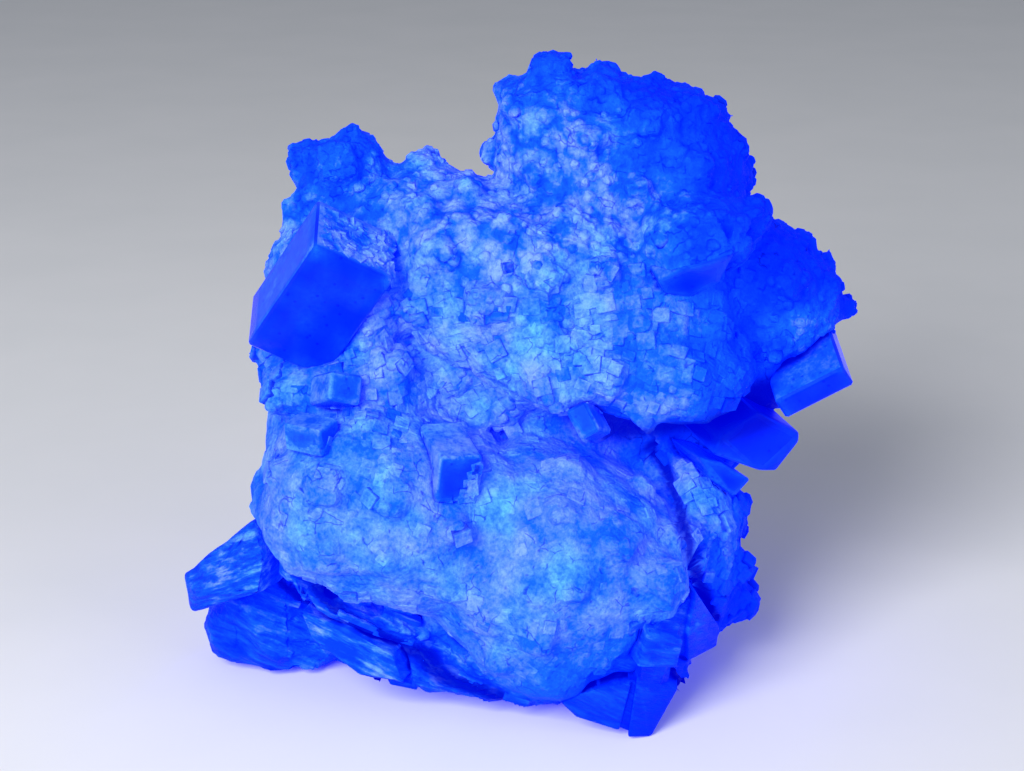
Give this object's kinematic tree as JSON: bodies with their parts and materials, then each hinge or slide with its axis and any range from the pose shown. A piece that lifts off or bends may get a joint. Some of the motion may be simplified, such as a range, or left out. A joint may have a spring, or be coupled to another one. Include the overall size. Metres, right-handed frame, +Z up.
{
  "type": "fluorite specimen",
  "caption": "Free-standing fluorite specimen: a block of massive fluorite crusted with small intergrown cubes, with larger glassy cubes set in the crust and cleaved blocks round its foot.",
  "frame": {"origin": "on the surface that the specimen rests on, under the middle of its bounding box", "axes": "+Z up, -Y towards the viewer of the display side, +X to that viewer's right"},
  "size_m": [0.1312, 0.0828, 0.1221],
  "materials": {
    "crust": "satin",
    "crystal": "gloss",
    "massive_fluorite": "gloss"
  },
  "bodies": {
    "root": {"rock_with_crust": "crust", "cube_upper_left": "crystal", "cube_centre": "crystal", "cube_right": "crystal", "cube_lower_right": "crystal", "cube_middle": "crystal", "cube_shelf": "crystal", "cube_notch": "crystal", "cube_cheek": "crystal", "cube_low_left": "crystal", "block_left": "massive_fluorite", "block_front": "massive_fluorite", "block_front_right": "massive_fluorite", "block_toe": "massive_fluorite", "block_right": "massive_fluorite", "block_base": "massive_fluorite"}
  },
  "joints": []
}
